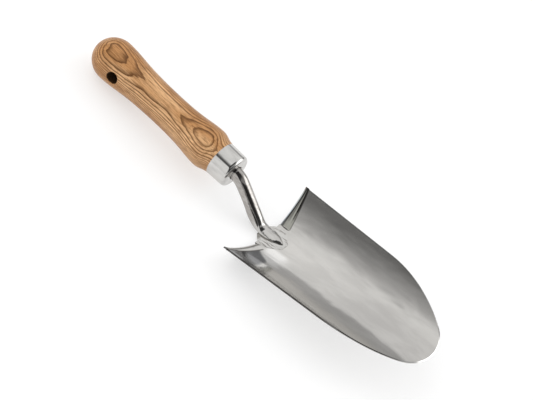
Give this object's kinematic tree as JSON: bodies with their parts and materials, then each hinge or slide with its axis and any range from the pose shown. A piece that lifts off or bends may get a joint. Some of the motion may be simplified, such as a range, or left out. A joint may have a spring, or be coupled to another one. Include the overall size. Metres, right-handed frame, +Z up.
{
  "type": "hand trowel",
  "caption": "Garden hand trowel: turned wooden grip, drawn ferrule, swan-neck steel shank and a broad dished blade for digging and planting.",
  "frame": {"origin": "bottom centre of the tool's bounding box as it lies at rest on level ground, hollow side up, on the butt of its grip and the rear of its blade", "axes": "+X along the tool towards the blade's tip, +Y across it, +Z up"},
  "size_m": [0.3248, 0.0884, 0.0405],
  "materials": {
    "ash_wood": "satin lacquered ash with brown growth lines",
    "polished_steel": "polished stainless steel",
    "satin_steel": "satin stainless sheet, polished along its edges",
    "dressed_weld": "weld ground and polished smooth",
    "resin": "cured amber adhesive, hidden inside the grip"
  },
  "bodies": {
    "root": {"handle": "ash_wood", "ferrule": "polished_steel", "shank": "polished_steel", "blade": "satin_steel", "root_weld": "dressed_weld", "tang_resin": "resin"}
  },
  "joints": []
}
